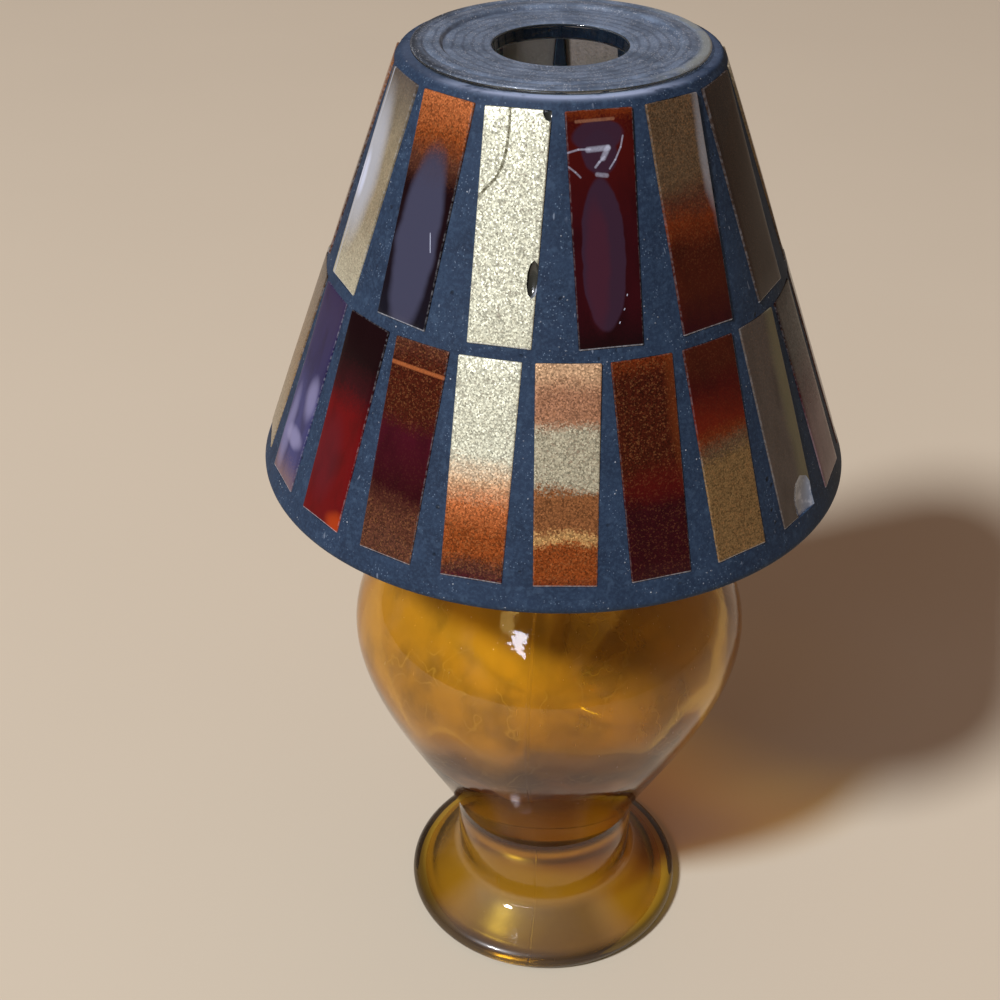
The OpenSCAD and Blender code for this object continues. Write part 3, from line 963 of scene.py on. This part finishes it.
class LAMP_OT_glass_base(Operator):
    """Makes the amber glass base"""

    bl_idname = "lamp.glass_base"
    bl_label = "Glass base"

    def execute(self, context):
        b = context.scene.lamp_base
        neck_z = b.foot_h + b.neck_h
        wide_z = neck_z + b.bulb_low
        throat_z = wide_z + b.bulb_high
        seat_z = throat_z + b.throat_h
        floor_z = neck_z + b.floor_h
        under = self.under_outline(b, neck_z - b.neck_solid)
        outer = self.outer_outline(b, neck_z, wide_z, throat_z, seat_z)
        inner = self.inner_outline(b, wide_z, throat_z, seat_z, floor_z)
        piece = lathe("amber_base", under + outer + inner, 160)
        self.soften_hollow(piece, b, outer, wide_z, floor_z)
        smooth(piece)
        hand_over(piece, "glass_base", "base", amber_glass(b))
        return {"FINISHED"}

    def under_outline(self, b, arch):
        """From the top of the hollow under the foot down to the standing ring."""
        bore = b.neck_r - b.wall
        near = SLIGHT_PULL * b.foot_h
        # The ring's rounding: its radius, where the slope meets it, and how far out its centre is
        soft, meet, out = 0.002, 0.00058, 0.00083
        return [
            *curve((0, arch), (bore, arch), (bore, arch - PULL * (arch - b.foot_h)), (bore, b.foot_h)),
            *curve((bore, b.foot_h), (bore, (1 - PULL) * b.foot_h), (b.ring_r - near, near),
                   (b.ring_r - meet, meet)),
            *arc((b.ring_r + out, soft), soft, math.radians(-135), math.radians(-90), 6),
        ]

    def outer_outline(self, b, neck_z, wide_z, throat_z, seat_z):
        """From the standing ring round the foot and up to the rim."""
        turn = math.radians(65)
        edge = np.array((b.foot_r - b.edge_h, b.edge_h))
        slope = edge + b.edge_h * np.array((math.cos(turn), math.sin(turn)))
        away = PULL * (b.foot_r - b.neck_r) * np.array((-math.sin(turn), math.cos(turn)))
        foot_top = (b.neck_r, b.foot_h)
        neck_pull = 0.004
        neck_top = (b.neck_r, neck_z - b.neck_step)
        bulb_foot = (b.neck_r + b.neck_step, neck_z)
        low = SLIGHT_PULL * b.bulb_low
        widest = (b.bulb_r, wide_z)
        throat = (b.throat_r, throat_z)
        up = np.array((math.sin(b.flare), math.cos(b.flare)))
        out = np.array((math.cos(b.flare), -math.sin(b.flare)))
        cup = np.array((b.seat_r + b.wall, seat_z))
        lip = b.wall / 2
        run = (b.seat_h - lip * (1 + math.sin(b.flare))) / math.cos(b.flare)
        return [
            *arc(edge, b.edge_h, -math.pi / 2, turn, 12),
            *curve(slope, slope + away, (b.neck_r, (1 - SLIGHT_PULL) * b.foot_h), foot_top),
            *curve(foot_top, (b.neck_r, b.foot_h + neck_pull), (b.neck_r, neck_z - neck_pull), neck_top, 6),
            *arc((bulb_foot[0], neck_top[1]), b.neck_step, math.pi, math.pi / 2, 4),
            *curve(bulb_foot, (bulb_foot[0] + low * math.tan(b.bulb_lean), neck_z + low),
                   (b.bulb_r, wide_z - low), widest, 28),
            *curve(widest, (b.bulb_r, wide_z + PULL * b.bulb_high),
                   (b.throat_r, throat_z - PULL * b.bulb_high), throat, 28),
            *curve(throat, (b.throat_r, throat_z + SLIGHT_PULL * b.throat_h),
                   cup - PULL * b.throat_h * up, cup),
            cup,
            *arc(cup + run * up - lip * out, lip, -b.flare, math.pi - b.flare, 12),
        ]

    def inner_outline(self, b, wide_z, throat_z, seat_z, floor_z):
        """From the tealight's seat down through the throat to the hollow's floor."""
        ledge_r = b.throat_r - b.wall
        hollow_r = b.bulb_r - b.wall
        soft = 0.0006
        return [
            (b.seat_r, seat_z),
            *arc((ledge_r + soft, seat_z - soft), soft, math.pi / 2, math.pi, 4),
            *curve((ledge_r, throat_z), (ledge_r, throat_z - PULL * b.bulb_high),
                   (hollow_r, wide_z + PULL * b.bulb_high), (hollow_r, wide_z), 28),
            *curve((hollow_r, wide_z), (hollow_r, wide_z - PULL * (wide_z - floor_z)),
                   (b.neck_r + b.wall, floor_z), (0, floor_z), 40),
            (0, floor_z),
        ]

    def soften_hollow(self, piece, b, outer, wide_z, floor_z):
        """Presses soft lobes into the hollow's lower end, and marks the hollow, more strongly on the left as
        painted light, and the foot's underside.
        """
        bulb = np.array([p for p in outer if p[1] < wide_z + b.bulb_high])
        hollow = piece.data.attributes.new("hollow", "FLOAT", "POINT")
        under = piece.data.attributes.new("under", "FLOAT", "POINT")
        # A point this far inside the outer face is on the hollow or on the underside
        skin = 0.0012

        def lobes(points):
            z = points[:, 2]
            radius = np.hypot(points[:, 0], points[:, 1])
            turn = np.arctan2(points[:, 0], -points[:, 1])
            within = radius < np.interp(z, bulb[:, 1], bulb[:, 0]) - skin
            inside = within & (z > floor_z - 1e-5)
            under.data.foreach_set("value", (within & ~inside).astype(np.float32))
            low = ease(wide_z - 0.004, floor_z + 0.006, z)
            # Painted light: the hollow's mark is stronger on the left than on the right
            side = 0.65 + 0.35 * ease(0.15, -0.25, turn)
            hollow.data.foreach_set("value", (inside * side * (0.75 + 0.25 * low)).astype(np.float32))
            wave = (0.6 * np.sin(b.lobes * turn + 0.5) + 0.35 * np.sin((b.lobes + 4) * turn + 2.3)
                    + 0.45 * np.sin(4 * turn + 0.8))
            depth = ease(wide_z + 0.004, floor_z + 0.003, z) * ease(0.002, 0.012, radius)
            push = inside * b.lobe * wave * depth
            return np.column_stack((outwards(points, -push), 2.2 * push))

        reshape(piece, lobes)


class LAMP_OT_shade_glass(Operator):
    """Makes the shade's clear glass cone with its dusty top plate"""

    bl_idname = "lamp.shade_glass"
    bl_label = "Shade glass"

    def execute(self, context):
        s = context.scene.lamp_shade
        low, high = (corner.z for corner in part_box("shade_glass"))
        foot, top = (corner.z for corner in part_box("grout"))
        under = high - s.plate
        outer, inner = cone(s, s.mosaic), cone(s, s.mosaic + s.wall)
        rim_r = cone(s, 0)(top) - s.rim_in
        ring_r = rim_r - s.ring_in
        groove_r = rim_r - 0.4 * s.ring_in
        dish = high - s.ring_d
        groove, soft, straight = 0.00025, 0.00025, 0.002
        outline = [
            (inner(low) + soft, low),
            (outer(low) - soft, low),
            (outer(low + soft), low + soft),
            *wall(outer, low + straight, top, 24),
            *arc((rim_r - s.soft, high - s.soft), s.soft, -math.pi / 2, math.pi / 2, 8),
            (groove_r + 2 * groove, high),
            *arc((groove_r, high + groove), groove * 1.4, -math.pi / 4, -3 * math.pi / 4, 4),
            (ring_r + 2 * s.ring_d, high),
            *curve((ring_r + s.ring_d, high - 0.05 * s.ring_d), (ring_r + 0.4 * s.ring_d, high),
                   (ring_r + 0.2 * s.ring_d, dish), (ring_r - 0.3 * s.ring_d, dish), 8),
            (ring_r - straight, dish),
            *arc((s.vent_r + s.soft, dish - s.soft), s.soft, math.pi / 2, math.pi, 6),
            *arc((s.vent_r + s.soft, under + s.soft), s.soft, math.pi, 1.5 * math.pi, 6),
            *wall(inner, under, low + soft, 28),
            (inner(low) + soft, low),
        ]
        piece = lathe("shade_cone", outline, 144)
        smooth(piece)
        hand_over(piece, "shade_glass", "shade", clear_glass(s), dusty_glass(s), ground_edge())
        for face in piece.data.polygons:
            on_top = face.center.z > dish - 0.3 * s.soft and face.normal.z > 0.3
            face.material_index = 1 if on_top else 2 if face.center.z < foot else 0
        return {"FINISHED"}


class LAMP_OT_grout(Operator):
    """Makes the grout over the cone, with a window for each tile"""

    bl_idname = "lamp.grout"
    bl_label = "Grout"

    def execute(self, context):
        s = context.scene.lamp_shade
        low, high = (corner.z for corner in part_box("grout"))
        face, back = cone(s, -s.grout_rise), cone(s, s.mosaic)
        inset = s.grout_round * (1 / math.cos(s.slope) + math.tan(s.slope))
        crown, crown_in = 0.0005, 0.0006
        start_z, end_z = low + 0.002, high - 0.001
        outline = [
            (back(low), low),
            *arc((face(low) - inset, low + s.grout_round), s.grout_round, -math.pi / 2, s.slope, 8),
            *wall(face, start_z, end_z, 64),
            *arc((face(high) - crown_in, high - crown), crown, s.slope, math.pi / 2, 5),
            (back(high), high),
            *wall(back, high, low, 20)[1:],
        ]
        piece = lathe("grout_coat", outline, 252)
        self.cut_windows(piece)
        smooth(piece, 40)
        hand_over(piece, "grout", "shade", wiped_grout(s))
        return {"FINISHED"}

    def cut_windows(self, piece):
        """Cuts a window through the grout for every tile, with one block as the tool for all."""
        dims, _ = block_place(TILE_NODES[0])
        play, edge = 4e-5, 0.0002
        tool = add_block((dims.x + play, dims.y + play, 4 * dims.z))
        with editing():
            bpy.ops.mesh.bevel(offset=edge, segments=2)
        tools = []
        for node in TILE_NODES:
            copy = copy_of(tool)
            copy.data.transform(block_place(node)[1])
            tools.append(copy)
        bpy.data.objects.remove(tool)
        pick(tools[0])
        for copy in tools:
            copy.select_set(True)
        bpy.ops.object.join()
        cut_away(piece, bpy.context.object)


class LAMP_OT_tiles(Operator):
    """Makes one tile and lays a copy of it in each place of the two rows"""

    bl_idname = "lamp.tiles"
    bl_label = "Tiles"

    def execute(self, context):
        s = context.scene.lamp_shade
        dims, _ = block_place(TILE_NODES[0])
        master = self.cut_tile(dims, s)
        for turn, node in enumerate(TILE_NODES):
            tile = copy_of(master)
            tile.name = node.replace("tile_upper", "upper_tile").replace("tile_lower", "lower_tile")
            self.warp(tile, turn, dims)
            materials = [tile_glass(node, stripes_of(node, turn), dims.x, dims.y)]
            if node in CHIPS:
                bare, chips = CHIPS[node]
                self.chip(tile, chips, dims)
                materials.append(broken_glass(node, bare))
            tile.data.transform(block_place(node)[1])
            smooth(tile, 30)
            hand_over(tile, node, "shade", *materials)
        bpy.data.objects.remove(master)
        return {"FINISHED"}

    def cut_tile(self, dims, s):
        """A flat glass tile with ground edges and a slightly domed face."""
        face_rim = 0.0003
        tile = add_block(dims)
        with editing():
            bpy.ops.mesh.bevel(offset=s.tile_edge, segments=3, profile=0.6)
        for face in tile.data.polygons:
            face.select = abs(face.normal.z) > 0.99
        bpy.ops.object.mode_set(mode="EDIT")
        bpy.ops.mesh.select_mode(type="FACE")
        bpy.ops.mesh.inset(thickness=face_rim, depth=0)
        bpy.ops.mesh.subdivide(number_cuts=9)
        bpy.ops.object.mode_set(mode="OBJECT")
        half = np.array(dims) / 2

        def dome(points):
            across, along = points[:, 0] / half[0], points[:, 1] / half[1]
            rise = s.tile_dome * (1 - across ** 2) * (1 - along ** 4) * (points[:, 2] > 0)
            return upwards(rise)

        reshape(tile, dome)
        flat = tile.data.uv_layers.active
        for face in tile.data.polygons:
            aside = ASIDE if face.normal.z < -0.9 else 0
            for corner in face.loop_indices:
                co = tile.data.vertices[tile.data.loops[corner].vertex_index].co
                flat.data[corner].uv = (co.x / dims.x + 0.5 + aside, co.y / dims.y + 0.5)
        return tile

    def warp(self, tile, turn, dims):
        """Hand-cast glass: each tile's face has soft waves of its own."""
        height = 0.00002

        def waves(points):
            across, along = points[:, 0] / dims.x, points[:, 1] / dims.y
            swell = (np.sin(5.1 * along + 2.4 * turn) + 0.7 * np.sin(4.0 * across + 1.7 * turn)
                     + 0.5 * np.sin(9.3 * along - 3.0 * across + 0.9 * turn))
            return upwards(height * swell * (points[:, 2] > dims.z / 4))

        reshape(tile, waves)

    def chip(self, tile, chips, dims):
        """Breaks small chips out of a tile's edge."""
        open_slots(tile, 2)
        for place, sizes in chips:
            start_fresh()
            spot = ((place[0] - 0.5) * dims.x, (place[1] - 0.5) * dims.y, dims.z / 2)
            bpy.ops.mesh.primitive_ico_sphere_add(subdivisions=2, radius=MM, location=spot, scale=sizes)
            tool = bpy.context.object
            bpy.ops.object.transform_apply(location=True, rotation=False, scale=True)
            open_slots(tool, 2)
            for face in tool.data.polygons:
                face.material_index = 1
            cut_away(tile, tool)


class LAMP_OT_tealight(Operator):
    """Makes the tealight: cup, wax, wick clip and wick"""

    bl_idname = "lamp.tealight"
    bl_label = "Tealight"

    def execute(self, context):
        c = context.scene.lamp_candle
        floor_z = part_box("tealight_cup")[0].z
        wax_z = floor_z + c.foil
        top_z = wax_z + c.wax_h
        self.make_cup(c, floor_z, wax_z)
        self.make_wax(c, wax_z, top_z)
        self.make_clip(c, wax_z)
        self.make_wick(c, wax_z, top_z)
        return {"FINISHED"}

    def make_cup(self, c, floor_z, wax_z):
        """A pressed cup with a dented floor, a rolled rim and flutes."""
        rim_z = floor_z + c.height
        wall_r = c.radius - c.foil / 2
        bore_r = wall_r - c.foil
        dent_r, dent_h = 0.012, 0.0006
        soft = 0.0012
        outline = [
            (0, floor_z + dent_h), (dent_r, floor_z + dent_h), (dent_r + dent_h, floor_z),
            *arc((wall_r - soft, floor_z + soft), soft, -math.pi / 2, 0, 6),
            *wall(lambda z: wall_r, floor_z + 0.002, rim_z - 0.0012, 10),
            *arc((c.radius - c.foil, rim_z - c.foil), c.foil, -0.6, math.pi - 0.2, 10),
            *wall(lambda z: bore_r, rim_z - 2 * c.foil, wax_z + 0.0008, 8),
            (bore_r - 0.0004, wax_z + dent_h / 2), (dent_r + dent_h, wax_z),
            (dent_r, wax_z + dent_h / 2), (0, wax_z + dent_h / 2),
        ]
        piece = lathe("candle_cup", outline, 4 * c.flutes)
        flute_d = 0.00011

        def flute(points):
            radius = np.hypot(points[:, 0], points[:, 1])
            turn = np.arctan2(points[:, 1], points[:, 0])
            tall = ease(floor_z + 0.001, floor_z + 0.003, points[:, 2])
            tall *= ease(rim_z - 0.001, rim_z - 0.003, points[:, 2])
            dent = flute_d * (np.cos(c.flutes * turn) - 1) * tall * (radius > bore_r - 0.0001)
            return np.column_stack((outwards(points, dent), 0 * dent))

        reshape(piece, flute)
        smooth(piece, 50)
        hand_over(piece, "tealight_cup", "tealight", pressed_metal(c, "Pressed cup metal"))

    def make_wax(self, c, wax_z, top_z):
        """Wax that climbs a little up the cup's wall and the wick, with room for the clip below."""
        wax_r = c.radius - 1.5 * c.foil - c.play - 0.0003
        pool_r = wax_r - 0.005
        hump_r = 0.0026
        soft = 0.0006
        hole_r = c.wick_r + c.play
        neck_r = hole_r + c.foil + c.play
        room_r = c.clip_r + c.play
        low_z = wax_z + 0.0004
        plate_z = wax_z + c.foil + c.play
        neck_z = wax_z + c.foil + c.clip_h + c.play
        outline = [
            (room_r, low_z), (wax_r - soft, low_z), (wax_r, low_z + soft), (wax_r, top_z + 2 * c.foil),
            *curve((wax_r - 0.0003, top_z + 1.9 * c.foil), (wax_r - 0.0012, top_z + 0.4 * c.foil),
                   (wax_r - 0.002, top_z), (pool_r, top_z), 8),
            *curve((pool_r, top_z), (0.009, top_z - 0.0006), (0.005, top_z - 0.0005),
                   (hump_r, top_z - 0.0002), 10),
            *curve((hump_r, top_z - 0.0002), (0.0018, top_z), (0.0014, top_z + 0.0008),
                   (hole_r, top_z + 0.001), 6),
            (hole_r, top_z), (hole_r, neck_z), (neck_r, neck_z), (neck_r, plate_z), (room_r, plate_z),
            (room_r, low_z),
        ]
        piece = lathe("candle_wax", outline, 96)
        smooth(piece, 40)
        hand_over(piece, "tealight_wax", "tealight", candle_wax(c))

    def make_clip(self, c, wax_z):
        """A round plate with a neck for the wick."""
        low_z = wax_z + 0.0003
        plate_z = wax_z + c.foil
        neck_z = plate_z + c.clip_h
        bore_r = c.wick_r + c.play
        neck_r = bore_r + c.foil
        outline = [
            (0, low_z), (c.clip_r - 0.0001, low_z), (c.clip_r, low_z + 0.00005), (c.clip_r, plate_z),
            *curve((bore_r + 1.9 * c.foil, plate_z), (bore_r + 1.2 * c.foil, plate_z),
                   (neck_r, plate_z + 0.2 * c.clip_h), (neck_r, plate_z + 0.4 * c.clip_h), 6),
            (neck_r, neck_z), (bore_r, neck_z), (bore_r, plate_z), (0, plate_z),
        ]
        piece = lathe("candle_clip", outline, 48)
        smooth(piece)
        hand_over(piece, "wick_clip", "tealight", pressed_metal(c, "Pressed clip metal"))

    def make_wick(self, c, wax_z, top_z):
        """A twisted wick of three strands, drawn up ring by ring."""
        foot_z = wax_z + c.foil
        rise = top_z + c.wick_out - foot_z
        rings, twist = 40, 0.3
        start_fresh()
        bpy.ops.mesh.primitive_circle_add(vertices=24, radius=0.93 * c.wick_r, fill_type="NGON",
                                          location=(0, 0, foot_z))
        piece = bpy.context.object
        piece.name = "candle_wick"
        bpy.ops.object.transform_apply(location=True, rotation=False, scale=False)

        def strands(points):
            turn = np.arctan2(points[:, 1], points[:, 0])
            dent = 0.1 * (np.cos(3 * turn) - 1)
            return np.column_stack((points[:, :2] * dent[:, None], 0 * dent))

        reshape(piece, strands)
        with editing():
            for ring in range(rings):
                draw_out((0, 0, rise / rings))
                z = foot_z + rise * (ring + 1) / rings
                bpy.ops.transform.rotate(value=twist, orient_axis="Z", center_override=(0, 0, z))
            face_outwards()
        smooth(piece, 50)
        hand_over(piece, "wick", "tealight", wick_cotton(c))


# Where the camera stands, how it is turned, and the width of its frame in millimetres
CAMERA_AT = (0, -0.1898, 0.2001)
CAMERA_TURN = (math.radians(56.67), 0, math.radians(2.22))
FRAME_WIDTH = 36
# Each lamp's direction and distance from the object, width, height and colour
LAMPS = {
    "key_lamp": ((-0.46, -0.52, 0.72), 3.0, (0.42, 0.42), "#fbfbff"),
    "front_lamp": ((-0.36, -0.74, 0.57), 1.6, (0.6, 0.05), "#e8eeff"),
}


class LAMP_OT_stage(Operator):
    """Makes the floor, the lamps and the camera"""

    bl_idname = "lamp.stage"
    bl_label = "Stage"

    def execute(self, context):
        s = context.scene.lamp_stage
        start_fresh()
        floor_r, floor_h = 2.5, 0.02
        bpy.ops.mesh.primitive_circle_add(vertices=96, radius=floor_r, fill_type="NGON", location=(0, 0, 0))
        floor = bpy.context.object
        floor.name = "floor"
        with editing():
            draw_out((0, 0, -floor_h))
            face_outwards()
        floor.data.materials.append(plain_floor(s))
        floor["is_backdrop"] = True
        self.hang_lamp("key_lamp", s.key_power)
        self.hang_lamp("front_lamp", s.front_power)
        context.scene.world = even_air(s)
        bpy.ops.object.camera_add(location=CAMERA_AT, rotation=CAMERA_TURN)
        camera = bpy.context.object
        camera.data.lens = s.lens
        camera.data.sensor_width = FRAME_WIDTH
        camera.data.clip_start = 0.01
        context.scene.camera = camera
        context.scene.view_settings.view_transform = "Standard"
        return {"FINISHED"}

    def hang_lamp(self, name, power):
        """A soft oval lamp that looks at the middle of the object's height."""
        direction, distance, sizes, code = LAMPS[name]
        middle = Vector((0, 0, 0.07))
        towards = Vector(direction).normalized()
        turned = towards.to_track_quat("Z", "Y").to_euler()
        bpy.ops.object.light_add(type="AREA", location=middle + distance * towards, rotation=turned)
        lamp = bpy.context.object
        lamp.name = name
        lamp.data.shape = "ELLIPSE"
        lamp.data.size, lamp.data.size_y = sizes
        lamp.data.energy = power
        lamp.data.color = linear(code)


class LAMP_PT_pieces(Panel):
    """Lists the lamp's pieces and their sizes and colours"""

    bl_idname = "LAMP_PT_pieces"
    bl_label = "Tealight lamp"
    bl_space_type = "VIEW_3D"
    bl_region_type = "UI"
    bl_category = "Lamp"

    def draw(self, context):
        for name, (_, *operators) in GROUPS.items():
            box = self.layout.box()
            settings = getattr(context.scene, name)
            for key in settings.__annotations__:
                box.prop(settings, key)
            for operator in operators:
                box.operator(operator.bl_idname)


# The settings and the operators of each part of the lamp
GROUPS = {
    "lamp_base": (BaseSettings, LAMP_OT_glass_base),
    "lamp_shade": (ShadeSettings, LAMP_OT_shade_glass, LAMP_OT_grout, LAMP_OT_tiles),
    "lamp_candle": (CandleSettings, LAMP_OT_tealight),
    "lamp_stage": (StageSettings, LAMP_OT_stage),
}
CLASSES = (*(cls for group in GROUPS.values() for cls in group), LAMP_PT_pieces)


def register():
    for cls in CLASSES:
        bpy.utils.register_class(cls)
    for name, (settings, *_) in GROUPS.items():
        setattr(bpy.types.Scene, name, PointerProperty(type=settings))


def unregister():
    for name in GROUPS:
        delattr(bpy.types.Scene, name)
    for cls in reversed(CLASSES):
        bpy.utils.unregister_class(cls)


def main():
    register()
    bpy.ops.lamp.glass_base()
    bpy.ops.lamp.shade_glass()
    bpy.ops.lamp.grout()
    bpy.ops.lamp.tiles()
    bpy.ops.lamp.tealight()
    bpy.ops.lamp.stage()
    boxes = {"cad": CAD_BOX, "visual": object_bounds()}
    {name: [list(corner) for corner in box] for name, box in boxes.items()}


if __name__ == "__main__":
    main()
